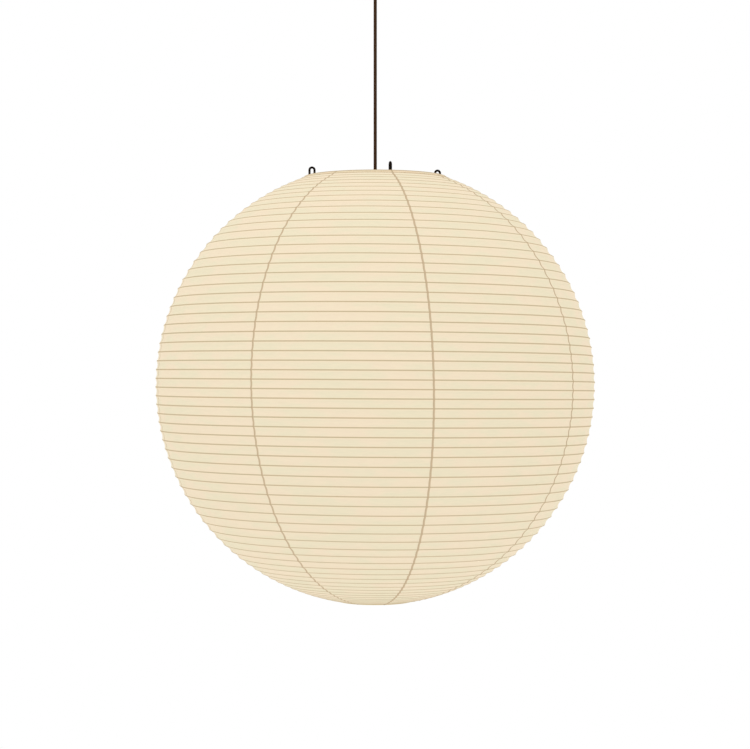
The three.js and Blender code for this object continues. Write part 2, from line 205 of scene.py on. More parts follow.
def bend(start, corner, end, steps):
    """Points of a soft bend that leaves start towards the corner and comes from it to end."""
    shares = [k / steps for k in range(steps + 1)]
    return [start * (1 - t) ** 2 + corner * 2 * t * (1 - t) + end * t ** 2 for t in shares]


def rounded(profile, radius, steps=3, closed=True):
    """The [r, z] outline with its corners rounded."""
    points = [Vector(p) for p in profile]
    count = len(points)
    out = []
    for i, corner in enumerate(points):
        if not closed and i in (0, count - 1):
            out.append(corner)
            continue
        before = points[i - 1] - corner
        after = points[(i + 1) % count] - corner
        cut = min(radius, before.length / 2.2, after.length / 2.2)
        start = corner + before.normalized() * cut
        end = corner + after.normalized() * cut
        out += bend(start, corner, end, steps)
    return out


def turned_mesh(name, profile, closed=True, segments=64, ripple=None, sharp=35):
    """A profile of [r, z] turned about Z. ripple(azimuth, r, z) moves a point outwards."""
    vertices = []
    for r, z in profile:
        for j in range(segments):
            azimuth = 2 * math.pi * j / segments
            reach = r + (ripple(azimuth, r, z) if ripple and r > 0 else 0)
            vertices.append(around(reach, azimuth, z))
    faces = grid_faces(len(profile), segments, closed, True)
    return mesh_from(name, vertices, faces, sharp)


def refined(outline, step, closed=True):
    """The outline with its long stretches divided, so that a ripple has points to move."""
    out = []
    count = len(outline)
    for i in range(count if closed else count - 1):
        start, end = Vector(outline[i]), Vector(outline[(i + 1) % count])
        parts = max(1, math.ceil((end - start).length / step))
        out += [start.lerp(end, k / parts) for k in range(parts)]
    return out if closed else [*out, Vector(outline[-1])]


def thread(pitch, depth, low, high):
    """A right-handed thread cut into a round wall between two heights."""
    def ripple(azimuth, radius, z):
        ease = max(0, min(1, (z - low) / pitch, (high - z) / pitch))
        return depth * ease * (math.cos(2 * math.pi * z / pitch - azimuth) - 1) / 2
    return ripple


def rod_mesh(radius, low, high, place=None, segments=48):
    """A plain round bar along Z, or where place puts it: a tool for carved()."""
    profile = [(0, low), (radius, low), (radius, high), (0, high)]
    mesh = turned_mesh("rod", profile, closed=False, segments=segments)
    if place:
        mesh.transform(place)
    return mesh


def box_mesh(low, high, bevel=0.0):
    """A box between two corners, in millimetres, with its edges rounded."""
    work = bmesh.new()
    bmesh.ops.create_cube(work, size=1)
    for vertex in work.verts:
        for axis in range(3):
            share = vertex.co[axis] + 0.5
            vertex.co[axis] = (low[axis] * (1 - share) + high[axis] * share) * MM
    if bevel:
        bmesh.ops.bevel(work, geom=work.edges[:], offset=bevel * MM, segments=4, affect="EDGES",
                        profile=0.5)
    mesh = bpy.data.meshes.new("box")
    work.to_mesh(mesh)
    work.free()
    return mesh


def carved(name, mesh, tools, operation="DIFFERENCE", sharp=35):
    """The mesh with each tool cut from it, or joined to it."""
    body = bpy.data.objects.new(name, mesh)
    helpers = [bpy.data.objects.new("tool", tool) for tool in tools]
    for item in (body, *helpers):
        bpy.context.collection.objects.link(item)
    for helper in helpers:
        step = body.modifiers.new("carve", "BOOLEAN")
        step.object = helper
        step.operation = operation
        step.solver = "EXACT"
    graph = bpy.context.evaluated_depsgraph_get()
    done = bpy.data.meshes.new_from_object(body.evaluated_get(graph))
    for item in (body, *helpers):
        bpy.data.objects.remove(item)
    done.materials.clear()
    done.shade_smooth()
    done.set_sharp_from_angle(angle=math.radians(sharp))
    return done


def strip_round_shade(name, path, wide, thick):
    """A strip along a path round the shade: wide and thick are half its width and half its depth."""
    sides = 8
    path = np.asarray(path)
    tangent = np.gradient(path, axis=0)
    tangent /= np.linalg.norm(tangent, axis=1)[:, None]
    outward = path - [0, 0, SHADE_Z]
    outward -= tangent * (outward * tangent).sum(1)[:, None]
    outward /= np.linalg.norm(outward, axis=1)[:, None]
    across = np.cross(tangent, outward)
    angles = 2 * np.pi * np.arange(sides) / sides
    rings = (
        path[:, None]
        + thick * np.cos(angles)[None, :, None] * outward[:, None]
        + wide * np.sin(angles)[None, :, None] * across[:, None]
    )
    faces = grid_faces(len(path), sides, False, True)
    last = (len(path) - 1) * sides
    faces += [tuple(range(sides)), tuple(last + k for k in range(sides))]
    return mesh_from(name, rings.reshape(-1, 3).tolist(), faces, 60)


def wire_curve(name, points, radius, cyclic=False):
    """A round wire through points."""
    curve = bpy.data.curves.new(name, "CURVE")
    curve.dimensions = "3D"
    spline = curve.splines.new("POLY")
    spline.points.add(len(points) - 1)
    for target, point in zip(spline.points, points):
        target.co = (*point, 1)
    spline.use_cyclic_u = cyclic
    spline.use_smooth = True
    curve.bevel_depth = radius
    curve.bevel_resolution = 4
    curve.use_fill_caps = not cyclic
    return curve


def ring_points(radius, z):
    """Points of a level circle round the Z axis."""
    count = 96
    return [around(radius, 2 * math.pi * i / count, z) for i in range(count)]


# ------------------------------------------------------------------ material tools


class Look:
    """A material, with short calls for the nodes that the looks share."""

    def __init__(self, name, roughness=0.5, metallic=0.0, specular=0.5):
        self.material = bpy.data.materials.new(name)
        self.material.use_nodes = True
        self.nodes = self.material.node_tree.nodes
        self.links = self.material.node_tree.links
        self.surface = self.nodes["Principled BSDF"]
        self.set("Roughness", roughness)
        self.set("Metallic", metallic)
        self.set("Specular IOR Level", specular)

    def put(self, socket, value):
        if isinstance(value, bpy.types.NodeSocket):
            self.links.new(value, socket)
        else:
            socket.default_value = value

    def set(self, name, value):
        self.put(self.surface.inputs[name], value)

    def node(self, kind, settings=None, **inputs):
        made = self.nodes.new(f"ShaderNode{kind}")
        for key, value in (settings or {}).items():
            setattr(made, key, value)
        for key, value in inputs.items():
            self.put(made.inputs[key.replace("_", " ")], value)
        return made

    def here(self):
        return self.node("TexCoord").outputs["Object"]

    def attribute(self, name, output="Fac"):
        return self.node("Attribute", {"attribute_name": name}).outputs[output]

    def scaled(self, vector, x, y, z):
        made = self.node("Mapping", Vector=vector)
        made.inputs["Scale"].default_value = (x, y, z)
        return made.outputs["Vector"]

    def noise(self, vector, scale, detail=4.0, roughness=0.5):
        made = self.node("TexNoise", Vector=vector, Scale=scale, Detail=detail, Roughness=roughness)
        return made.outputs["Fac"]

    def math(self, operation, a, b=0.0):
        made = self.node("Math", {"operation": operation})
        self.put(made.inputs[0], a)
        self.put(made.inputs[1], b)
        return made.outputs["Value"]

    def fade(self, value, start, end, low=0.0, high=1.0):
        """Goes smoothly from low to high as value goes from start to end."""
        made = self.node("MapRange", {"interpolation_type": "SMOOTHSTEP"}, Value=value)
        self.put(made.inputs["From Min"], start)
        self.put(made.inputs["From Max"], end)
        self.put(made.inputs["To Min"], low)
        self.put(made.inputs["To Max"], high)
        return made.outputs["Result"]

    def mix(self, share, a, b):
        """Goes from colour a to colour b as share goes from 0 to 1."""
        made = self.node("Mix", {"data_type": "RGBA"})
        self.put(made.inputs[0], share)
        self.put(made.inputs[6], a)
        self.put(made.inputs[7], b)
        return made.outputs[2]

    def bump(self, height, distance, strength):
        made = self.node("Bump", Height=height, Strength=strength, Distance=distance)
        self.set("Normal", made.outputs["Normal"])


def colour(red, green, blue):
    """An sRGB colour of 0 to 255 as linear light."""
    def linear(value):
        share = value / 255
        return share / 12.92 if share <= 0.04045 else ((share + 0.055) / 1.055) ** 2.4
    return (linear(red), linear(green), linear(blue), 1)


# ------------------------------------------------------------------ materials

PAINTED_GLOW = 0.2  # painted glow: share of the paper's light given out as emission, as if it came through it
PAINTED_INNER_GLOW = 0.45  # the same painted glow on its inside, which faces the dark


def painted_glow(look, tint, glow):
    """Painted glow: the paper gives back most of the light in front of it and gives out a share of
    its tint as emission, in place of light let through from behind.
    """
    look.set("Base Color", look.mix(glow, tint, (0, 0, 0, 1)))
    look.set("Emission Color", tint)
    look.set("Emission Strength", glow)


def mottled_paper(look, place, green, pink):
    """Washi: cloudy, with faint stretched streaks."""
    clouds = look.fade(look.noise(look.scaled(place, 14, 38, 7), 1.0, 3), 0.38, 0.62)
    streaks = look.fade(look.noise(look.scaled(place, 55, 420, 7), 1.0, 3), 0.35, 0.68)
    tint = look.mix(clouds, green, pink)
    return look.mix(look.math("MULTIPLY", streaks, 0.3), tint, colour(246, 231, 201))


def square(look, value):
    return look.math("MULTIPLY", value, value)


def fibres(look, place):
    """Fine crossing fibres, for bump."""
    rough = look.noise(place, 900, 8, 0.65)
    long = look.noise(look.scaled(place, 225, 1620, 1), 1.0, 3, 0.6)
    return look.math("ADD", look.math("MULTIPLY", rough, 0.5), long)


def make_shade_paper():
    """Pale paper with painted glow: a painted highlight band below each turn of the rib, a painted
    shadow over the rib, and darker where two layers overlap along a cut edge, partly their own tone
    and partly painted shade.
    """
    look = Look("shade_paper", roughness=0.92, specular=0.12)
    place = look.attribute("flat", "Vector")
    turn = look.attribute("turn")
    pitch = look.attribute("pitch")
    edge = look.attribute("edge")
    tint = mottled_paper(look, place, colour(234, 224, 195), colour(240, 223, 196))

    phase = look.math("FRACT", turn)
    below = look.math("MULTIPLY", phase, pitch)
    over = look.math("MULTIPLY", look.math("SUBTRACT", 1.0, phase), pitch)
    distance = look.math("MINIMUM", below, over)
    # Painted light: a brighter band just below each turn of the rib.
    painted_light_band = look.fade(below, 5 * MM, 1.3 * MM, 0.0, 0.55)
    tint = look.mix(painted_light_band, tint, colour(247, 230, 200))

    # Painted shadow of the bamboo rib behind the paper: a darker line over each turn, its tone
    # wavering at random.
    waver = look.noise(look.scaled(place, 9, 200, 11), 1.0, 2)
    rib_shadow_tint = look.mix(waver, colour(188, 178, 142), colour(204, 176, 142))
    rib = look.fade(distance, 1.45 * MM, 0.7 * MM, 0.0, 0.92)
    tint = look.mix(rib, tint, rib_shadow_tint)

    # Darker where two layers overlap along a cut edge: partly the glued overlap's own tone, partly
    # painted shade.
    overlap_tone_and_shade = look.fade(edge, 2 * SEAM_HALF + 0.3 * MM, 2 * SEAM_HALF - 0.4 * MM, 0.0, 0.85)
    tint = look.mix(overlap_tone_and_shade, tint, look.mix(waver, colour(190, 172, 138), colour(200, 170, 138)))

    # Painted glow, stronger on the inside face.
    painted_glow(look, tint, look.fade(look.attribute("inside"), 0.0, 1.0, PAINTED_GLOW, PAINTED_INNER_GLOW))
    look.bump(fibres(look, place), 0.12 * MM, 0.5)
    return look.material


def make_binding_paper():
    """The same paper folded over a ring: the seams run on under it, partly their own tone and partly
    painted shade; painted shade darkens the crest of its fold, and on the bottom mouth it is painted
    lighter and glows more.
    """
    look = Look("binding_paper", roughness=0.9, specular=0.12)
    place = look.here()
    tint = mottled_paper(look, place, colour(229, 214, 180), colour(236, 214, 180))
    axes = look.node("SeparateXYZ", Vector=place)
    height = look.math("SUBTRACT", axes.outputs["Z"], SHADE_Z)
    # Painted shade: darker along the crest of the fold over the top ring.
    ridge_shade = look.fade(height, (TOP_RING["h"] - 0.5) * MM, (TOP_RING["h"] + 1.5) * MM, 0.0, 0.9)
    tint = look.mix(ridge_shade, tint, colour(192, 172, 140))
    # Painted light: the binding below the shade's centre, at the bottom mouth, is made lighter.
    low = look.fade(height, 0.0, -0.1, 0.0, 1.0)
    tint = look.mix(low, tint, colour(250, 240, 210))

    azimuth = look.math("ARCTAN2", axes.outputs["X"], look.math("MULTIPLY", axes.outputs["Y"], -1.0))
    seam_at = look.math("MULTIPLY", look.math("SIGN", height), SEAM_LEAN * TOP_LATITUDE)
    seam_at = look.math("ADD", seam_at, FIRST_SEAM)
    gores = look.math("DIVIDE", look.math("SUBTRACT", azimuth, seam_at), GORE_ANGLE)
    off = look.math("SUBTRACT", look.math("FRACT", look.math("ADD", gores, 0.5)), 0.5)
    radius = look.math("SQRT", look.math("ADD", square(look, axes.outputs["X"]),
                                         square(look, axes.outputs["Y"])))
    away = look.math("MULTIPLY", look.math("ABSOLUTE", off), radius)
    wide, narrow = (SEAM_HALF + 0.3 * MM) / GORE_ANGLE, (SEAM_HALF - 0.3 * MM) / GORE_ANGLE
    # Darker along each seam: partly the glued overlap's own tone, partly painted shade.
    seam = look.fade(away, wide, narrow, 0.0, 0.75)
    tint = look.mix(seam, tint, colour(188, 168, 134))
    # Painted glow, stronger on the bottom binding than on the top one.
    painted_glow(look, tint, look.fade(height, 0.0, -0.1, 0.1, 0.3))
    look.bump(fibres(look, place), 0.15 * MM, 0.6)
    return look.material


def make_bamboo():
    """Straw-coloured, with long grain and darker blotches."""
    look = Look("bamboo", roughness=0.6, specular=0.35)
    place = look.here()
    grain = look.noise(look.scaled(place, 60, 60, 2500), 1.0, 4)
    blotch = look.noise(place, 9, 2)
    tint = look.mix(grain, colour(176, 146, 98), colour(214, 188, 140))
    tint = look.mix(look.fade(blotch, 0.45, 0.7, 0, 0.5), tint, colour(160, 128, 84))
    look.set("Base Color", tint)
    look.bump(grain, 0.2 * MM, 0.5)
    return look.material


def make_lacquered(name, base, worn, roughness, specular=0.3, grain=1400):
    """Paint or moulded plastic: slightly cloudy, fine orange peel."""
    look = Look(name, roughness=roughness, specular=specular)
    place = look.here()
    cloud = look.noise(place, 26, 4)
    look.set("Base Color", look.mix(look.fade(cloud, 0.3, 0.75), base, worn))
    look.set("Roughness", look.fade(cloud, 0.3, 0.8, roughness - 0.06, roughness + 0.12))
    look.bump(look.noise(place, grain, 2), 0.04 * MM, 0.6)
    return look.material


def make_metal(name, base, dull, roughness):
    """Bare metal with drawing marks and a patchy, duller film."""
    look = Look(name, roughness=roughness, metallic=1.0)
    place = look.here()
    marks = look.noise(look.scaled(place, 900, 900, 12600), 1.0, 3)
    film = look.fade(look.noise(place, 60, 5, 0.6), 0.35, 0.75)
    look.set("Base Color", look.mix(film, base, dull))
    rough = look.fade(marks, 0.2, 0.8, roughness - 0.08, roughness + 0.12)
    look.set("Roughness", look.math("ADD", rough, look.math("MULTIPLY", film, 0.08)))
    look.bump(marks, 0.01 * MM, 0.2)
    return look.material


def make_cord_textile():
    """A braided sleeve: two sets of threads that wind opposite ways round the cord."""
    look = Look("cord_textile", roughness=1.0, specular=0.08)
    place = look.node("SeparateXYZ", Vector=look.here())
    angle = look.math("ARCTAN2", place.outputs["Y"], place.outputs["X"])
    threads, pitch = 12, 9 * MM
    along = look.math("MULTIPLY", place.outputs["Z"], 2 * math.pi * threads / pitch / 2)
    round_it = look.math("MULTIPLY", angle, threads / 2)
    left = look.math("SINE", look.math("ADD", round_it, along))
    right = look.math("SINE", look.math("SUBTRACT", round_it, along))
    weave = look.math("MAXIMUM", left, right)
    fuzz = look.noise(look.here(), 2600, 4, 0.7)
    shade = look.math("ADD", look.math("MULTIPLY", weave, 0.35), fuzz)
    tint = look.mix(look.fade(shade, 0.2, 1.0), colour(38, 22, 11), colour(74, 51, 34))
    look.set("Base Color", tint)
    look.set("Sheen Weight", 0.02)
    look.set("Sheen Roughness", 0.4)
    look.bump(look.math("ADD", weave, look.math("MULTIPLY", fuzz, 0.6)), 0.2 * MM, 0.6)
    return look.material


def make_porcelain():
    """Glazed, warm white, with faint specks."""
    look = Look("porcelain", roughness=0.22, specular=0.5)
    speck = look.noise(look.here(), 700, 6, 0.7)
    tint = look.mix(look.fade(speck, 0.6, 0.8), colour(232, 227, 216), colour(214, 206, 190))
    look.set("Base Color", tint)
    look.bump(look.noise(look.here(), 220, 3), 0.03 * MM, 0.2)
    return look.material


def make_opal_glass():
    """Glossy white glass that is cloudy all through; the lamp is off."""
    look = Look("opal_glass", roughness=0.18, specular=0.5)
    cloud = look.noise(look.here(), 30, 4)
    tint = look.mix(look.fade(cloud, 0.3, 0.7), colour(226, 222, 210), colour(233, 230, 220))
    look.set("Base Color", tint)
    look.bump(look.noise(look.here(), 900, 3), 0.02 * MM, 0.3)
    return look.material


def make_materials():
    made = [
        make_shade_paper(),
        make_binding_paper(),
        make_bamboo(),
        make_lacquered("frame_wire", colour(18, 11, 7), colour(32, 20, 13), 0.8, 0.05),
        make_metal("ring_steel", colour(150, 150, 147), colour(118, 116, 110), 0.38),
        make_cord_textile(),
        make_lacquered("brown_plastic", colour(40, 28, 21), colour(56, 40, 31), 0.42),
        make_lacquered("canopy_lacquer", colour(46, 33, 25), colour(62, 46, 36), 0.36, 0.4, 2200),
        make_metal("zinc_steel", colour(184, 187, 190), colour(150, 152, 154), 0.32),
        make_metal("brass", colour(206, 168, 84), colour(160, 122, 62), 0.28),
        make_porcelain(),
        make_opal_glass(),
        make_metal("cap_metal", colour(204, 206, 207), colour(170, 171, 172), 0.28),
        make_lacquered("black_glass", colour(18, 18, 20), colour(30, 29, 30), 0.18, 0.5),
    ]
    return {slot_of(material): material for material in made}


def make_floor():
    """A wide pale floor, far below, as in a high hall."""
    depth, radius = 4.5, 14.0
    look = Look("studio_floor", roughness=0.9, specular=0.1)
    tone = look.fade(look.noise(look.here(), 0.8, 4), 0.3, 0.7)
    look.set("Base Color", look.mix(tone, (0.78, 0.78, 0.78, 1), (0.82, 0.82, 0.82, 1)))
    look.set("Emission Color", (1, 1, 1, 1))
    look.set("Emission Strength", 0.22)
    profile = [(0.0, SHADE_Z - depth), (radius, SHADE_Z - depth)]
    mesh = turned_mesh("floor", profile, closed=False, segments=96)
    mesh.materials.append(look.material)
    floor = bpy.data.objects.new("floor", mesh)
    bpy.context.collection.objects.link(floor)


# ------------------------------------------------------------------ the spiral of the rib


def rib_pitch(latitude):
    """Latitude that the rib falls through in one turn. It is widest halfway to each mouth."""
    middle, falling, widening = 2.242, 0.356, 0.696  # degrees
    wave = np.sin(math.pi * latitude / math.radians(81.4))
    return np.radians(middle - falling * latitude ** 2 + widening * wave ** 2)


LATITUDES = np.linspace(TOP_LATITUDE, BOTTOM_LATITUDE, 4001)  # from mouth to mouth


def count_turns():
    """Turns that the rib has made at each of LATITUDES, from where it crosses the equator."""
    step = LATITUDES[0] - LATITUDES[1]
    per_step = step / rib_pitch((LATITUDES[1:] + LATITUDES[:-1]) / 2)
    turns = np.concatenate([[0], np.cumsum(per_step)])
    return turns - np.interp(0, -LATITUDES, turns)


TURNS = count_turns()


def latitude_at(turns):
    """The rib's latitude after a number of turns."""
    return np.interp(turns, TURNS, LATITUDES)


def turns_at(latitude):
    """The rib's number of turns at a latitude."""
    return np.interp(-latitude, -LATITUDES, TURNS)


# ------------------------------------------------------------------ paper gores

ROWS_PER_TURN = (0, 0.06, 0.2, 0.35, 0.5, 0.65, 0.8, 0.94)  # closer together at the rib
COLUMNS = 12
MARGIN_COLUMNS = 3  # of the margin that is glued on top of the gore before
SEAM_LIFT = 0.25 * MM
SEAM_SETTLES = 2 * MM  # past the margin, where the lifted paper is back on the rib
SEAM_REACH = 14 * MM  # how far from its edge a glued margin stiffens a gore
SAG = 0.135  # how far the paper sinks between two turns of the rib, over their distance
CLOUD_SHIFT = 1.7  # gives each sheet clouds of its own


def gore_columns(seam, latitude):
    """Azimuths across one gore at a latitude, from one glued margin to the other."""
    ring = SHADE_R * math.cos(latitude)
    half = SEAM_HALF / ring
    ease = half + SEAM_SETTLES / ring
    inner = [max(GORE_ANGLE * j / COLUMNS, 1.3 * ease) for j in range(1, COLUMNS)]
    left = [-half, 0, half, ease]
    right = [GORE_ANGLE - half, GORE_ANGLE, GORE_ANGLE + half]
    return [seam + angle for angle in (*left, *inner, *right)]


def paper_sink(phase, pitch, azimuth, latitude, near_seam):
    """How far the paper hangs in from the rib's sphere between two turns. None at a mouth."""
    to_mouth = min(TOP_LATITUDE - latitude, latitude - BOTTOM_LATITUDE) * SHADE_R
    held = min(1.0, to_mouth / pitch)
    x, y = math.sin(azimuth), math.cos(azimuth)
    ripple = noise.noise(Vector((x * 9, y * 9, latitude * 55)))
    slack = noise.noise(Vector((x * 3, y * 3, latitude * 7)))
    depth = SAG * pitch * (1 + 0.22 * ripple + 0.15 * slack)
    return depth * held * (1 - 0.25 * near_seam) * 4 * phase * (1 - phase)


def gore_points(index):
    """The points of one gore in rows, and what its material needs to know at each."""
    seam = FIRST_SEAM + index * GORE_ANGLE
    first = math.floor(TURNS[0]) - 1
    last = math.ceil(TURNS[-1]) + 1
    points, flat, turn_list, pitch_list, edge_list = [], [], [], [], []
    rows = [n + f for n in range(first, last) for f in ROWS_PER_TURN]
    for row in rows:
        middle = latitude_at(row + (seam + GORE_ANGLE / 2 - RIB_AZIMUTH) / (2 * math.pi))
        start = seam + SEAM_LEAN * middle
        azimuths = gore_columns(start, middle)
        for column, azimuth in enumerate(azimuths):
            offset = (azimuth - RIB_AZIMUTH) / (2 * math.pi)
            latitude = float(latitude_at(row + offset))
            turn = float(turns_at(latitude)) - offset
            pitch = float(rib_pitch(latitude)) * SHADE_R
            ring = SHADE_R * math.cos(latitude)
            edge = min(azimuth - azimuths[0], azimuths[-1] - azimuth) * ring
            near_seam = max(0.0, 1 - edge / SEAM_REACH)
            sink = paper_sink(turn % 1, pitch, azimuth, latitude, near_seam)
            reach = SHADE_R - sink + (SEAM_LIFT if column < MARGIN_COLUMNS else 0)
            z = SHADE_Z + reach * math.sin(latitude)
            points.append(around(reach * math.cos(latitude), azimuth, z))
            across = (azimuth - start - GORE_ANGLE / 2) * ring
            flat.append((across, latitude * SHADE_R, index * CLOUD_SHIFT))
            turn_list.append(turn)
            pitch_list.append(pitch)
            edge_list.append(edge)
    attributes = {
        "flat": ("FLOAT_VECTOR", flat),
        "turn": ("FLOAT", turn_list),
        "pitch": ("FLOAT", pitch_list),
        "edge": ("FLOAT", edge_list),
    }
    return len(rows), points, attributes


def thicken(piece, thickness):
    """Gives a sheet its thickness, inwards, applies it and marks the new inner face."""
    count = len(piece.data.vertices)
    solid = piece.modifiers.new("thickness", "SOLIDIFY")
    solid.thickness = thickness
    solid.offset = -1
    graph = bpy.context.evaluated_depsgraph_get()
    done = bpy.data.meshes.new_from_object(piece.evaluated_get(graph))
    piece.modifiers.clear()
    inside = done.attributes.new("inside", "FLOAT", "POINT")
    inside.data.foreach_set("value", [float(i >= count) for i in range(len(done.vertices))])
    piece.data = done


def fold_with_shade(piece):
    """Gives the piece a mesh of its own."""
    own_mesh(piece)


def make_gores(looks):
    for index, node in enumerate(GORES):
        rows, points, attributes = gore_points(index)
        columns = len(points) // rows
        mesh = mesh_from(f"gore_{index + 1}", points, grid_faces(rows, columns), 60, attributes)
        name = f"paper_sheet_{index + 1}"
        piece = new_piece(name, mesh, looks["shade_paper"], "pendant", node)
        thicken(piece, PAPER)
        fold_with_shade(piece)


def make_rib(looks):
    """Split bamboo, one strip that winds down the whole shade just inside the paper."""
    top, bottom = (float(turns_at(latitude)) for latitude in reversed(RIB_LATITUDES))
    steps_per_turn = 72
    steps = round((bottom - top) * steps_per_turn)
    thick, wide, clear = 0.8 * MM, 1.1 * MM, 0.25 * MM
    path = []
    for i in range(steps + 1):
        turn = top + (bottom - top) * i / steps
        latitude = float(latitude_at(turn))
        azimuth = RIB_AZIMUTH + 2 * math.pi * turn
        waver = 0.15 * MM * noise.noise(Vector((turn * 6, 0, 3)))
        reach = SHADE_R - PAPER - thick - clear + waver
        z = SHADE_Z + reach * math.sin(latitude)
        path.append(around(reach * math.cos(latitude), azimuth, z))
    mesh = strip_round_shade("rib", path, wide, thick)
    piece = new_piece("spiral_rib_strip", mesh, looks["bamboo"], "pendant", "spiral_rib")
    fold_with_shade(piece)


# ------------------------------------------------------------------ mouths of the shade

BINDING = 0.2 * MM  # thickness of the folded paper
SKIRT_LIFT = SEAM_LIFT + 0.1 * MM


def mouth_outline(ring, way, shut, skirt):
    """Outline of paper folded round a mouth ring, with a skirt over the gores."""
    near, paper = ring["wire"] + 0.1 * MM, BINDING
    start, end, steps = math.radians(210), math.radians(shut), 26

    def fold(reach):
        angles = [start + (end - start) * i / steps for i in range(steps + 1)]
        return [
            (ring["radius"] + reach * math.cos(a), above(ring["h"]) + way * reach * math.sin(a))
            for a in angles
        ]

    def skirt_line(lift):
        radii = np.linspace(skirt[0], skirt[1], 5) * MM
        return [(r, SHADE_Z + way * (math.sqrt(SHADE_R ** 2 - r ** 2) + lift)) for r in radii]

    outer = fold(near + paper) + skirt_line(SKIRT_LIFT + paper)
    inner = skirt_line(SKIRT_LIFT)[::-1] + fold(near)[::-1]
    return outer + inner


def pleats(azimuth, radius, z):
    """Small uneven folds where a straight strip of paper goes round a ring."""
    place = Vector((azimuth * 22, (z - SHADE_Z) * 12, radius * 30))
    return 0.12 * MM * noise.noise(place) + 0.06 * MM * noise.noise(place * 3)


def make_mouths(looks):
    top = mouth_outline(TOP_RING, 1, 15, (134, 137))
    bottom = mouth_outline(BOTTOM_RING, -1, 50, (58.2, 65))
    for name, outline, body, node in [
        ("top_binding_strip", top, "shade_top", "top_binding"),
        ("bottom_binding_strip", bottom, "pendant", "bottom_binding"),
    ]:
        mesh = turned_mesh(name, outline, segments=288, ripple=pleats, sharp=70)
        new_piece(name, mesh, looks["binding_paper"], body, node)
    for name, ring, look, body, node in [
        ("top_ring_wire", TOP_RING, "ring_steel", "shade_top", "top_ring"),
        ("bottom_ring_wire", BOTTOM_RING, "ring_steel", "pendant", "bottom_ring"),
        ("base_ring_wire", BASE_RING, "frame_wire", "pendant", "frame_base_ring"),
    ]:
        points = ring_points(ring["radius"], above(ring["h"]))
        new_piece(name, wire_curve(name, points, ring["wire"], True), looks[look], body, node)


# ------------------------------------------------------------------ wire frame


def upright_points(azimuth):
    """A clip bow over the top ring, the long straight leg and the bend in to the base ring."""
    leg, tip = 113.2 * MM, 122.5 * MM
    tip_z, bow_top = above(372), above(395.2)
    bow = (tip - leg) / 2
    outline = [(tip, tip_z), *arc((tip - bow, bow_top - bow), bow, 0, 180, 16)]
    ring, foot = BASE_RING["radius"], above(BASE_RING["h"])
    end = ring + BASE_RING["wire"] + 0.4 * MM
    knots = [(leg, above(-300)), (leg, above(-350)), (ring + 35 * MM, foot + 2 * MM), (end, foot)]
    for i in range(25):
        t = i / 24
        weights = ((1 - t) ** 3, 3 * t * (1 - t) ** 2, 3 * t * t * (1 - t), t ** 3)
        outline.append([sum(w * k[axis] for w, k in zip(weights, knots)) for axis in (0, 1)])
    return [around(r, azimuth, z) for r, z in outline]


def make_frame(looks):
    look = looks["frame_wire"]
    for number, azimuth in enumerate(UPRIGHT_AZIMUTHS, 1):
        name = f"upright_wire_{number}"
        curve = wire_curve(name, upright_points(azimuth), FRAME_WIRE)
        new_piece(name, curve, look, "pendant", f"upright_{number}")
    new_piece("carrier_cross", carrier_mesh(), look, "pendant", "carrier")


def carrier_mesh():
    """A flat ring for the lampholder, with four wire arms welded under the uprights."""
    inner, outer, height, arm_end = 20.2, 29, 76.7, 110.9
    ring = in_mm([
        (inner, height - 1), (outer, height - 1), (outer, height + 1), (inner, height + 1),
    ])
    mesh = turned_mesh("carrier_ring", rounded(ring, 0.5 * MM), segments=128)
    arms = []
    for azimuth in UPRIGHT_AZIMUTHS:
        turn = Matrix.Rotation(azimuth, 4, "Z") @ Matrix.Rotation(math.pi / 2, 4, "X")
        place = Matrix.Translation((0, 0, above(height))) @ turn
        arms.append(rod_mesh(FRAME_WIRE, (outer - 2.5) * MM, arm_end * MM, place, 20))
    return carved("carrier_mesh", mesh, arms, "UNION", 50)


# ------------------------------------------------------------------ cord


def make_cord(looks):
    """Straight and taut, from inside the gland nut up into the cord clamp."""
    top, bottom = -42 * MM, above(117)
    count = 30
    points = [(0, 0, bottom + (top - bottom) * i / count) for i in range(count + 1)]
    curve = wire_curve("cord_sleeve", points, 3 * MM)
    piece = new_piece("cord_sleeve", curve, looks["cord_textile"], "pendant", "cord")


# ------------------------------------------------------------------ lampholder and bulb


def knurl(count, depth, low, high):
    """Grooves along a round grip between two heights."""
    def ripple(azimuth, radius, z):
        if not above(low) < z < above(high):
            return 0
        return depth * (abs(math.sin(azimuth * count / 2)) - 1)
    return ripple


def make_lampholder(looks):
    plastic = looks["brown_plastic"]
    body = in_mm([
        (17.2, 56), (19.5, 56), (19.5, 78), (22.5, 78), (22.5, 82), (19.5, 82), (19.5, 102),
        (17.2, 102),
    ])
    dome, outer, inner = (8.5, 112.3), 11, 9.2
    cap = [
        (dome[0] + outer, 102.3), *arc(dome, outer, 0, 90, 10), (6.6, dome[1] + outer),
        (6.6, dome[1] + inner), *arc(dome, inner, 90, 0, 10), (dome[0] + inner, 102.3),
    ]
    gland = in_mm([
        (3.35, 115), (6.2, 115), (6.2, 123.6), (8.5, 123.6), (8.5, 131.3), (6.5, 136.3),
        (3.35, 136.3),
    ])
    nut = in_mm([(20.2, 68.4), (25, 68.4), (26, 69.4), (26, 74.4), (20.2, 74.4)])
    parts = [
        ("holder_sleeve", rounded(body, 0.6 * MM), "holder_body", None),
        ("holder_dome", rounded(in_mm(cap), 0.2 * MM, 2), "holder_cap", None),
        ("cord_gland", rounded(gland, 0.5 * MM), "gland_nut", knurl(24, 0.5 * MM, 124.5, 131)),
        ("ring_nut", rounded(nut, 0.5 * MM), "shade_ring_nut", knurl(36, 0.7 * MM, 68.7, 74.1)),
    ]
    for name, outline, node, ripple in parts:
        mesh = turned_mesh(name, outline, segments=144, ripple=ripple)
        new_piece(name, mesh, plastic, "pendant", node)


BULB_PITCH = 3.63 * MM  # of the E27 thread


